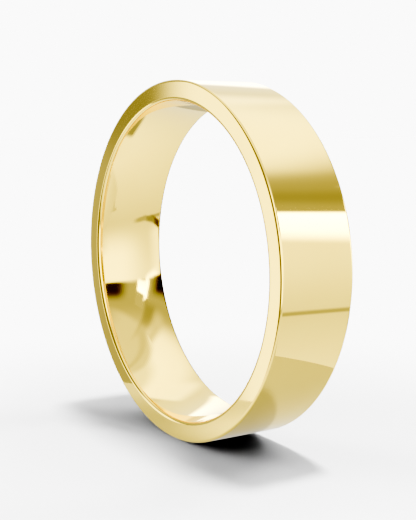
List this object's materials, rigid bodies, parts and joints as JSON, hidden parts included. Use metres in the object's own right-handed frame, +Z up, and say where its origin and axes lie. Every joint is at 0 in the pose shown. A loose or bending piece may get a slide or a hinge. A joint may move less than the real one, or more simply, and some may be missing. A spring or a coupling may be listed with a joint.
{
  "type": "wedding band",
  "caption": "Plain flat-profile finger ring with polished sides, softly rounded edges and a domed comfort-fit bore.",
  "frame": {"origin": "centre of the finger hole, at mid-width of the band", "axes": "+Y along the finger axis, +Z up with the ring standing on its rim, +X completes the frame"},
  "size_m": [0.0222, 0.005, 0.0222],
  "materials": {
    "yellow_gold": "high polish yellow gold"
  },
  "bodies": {
    "root": {"band": "yellow_gold"}
  },
  "joints": []
}
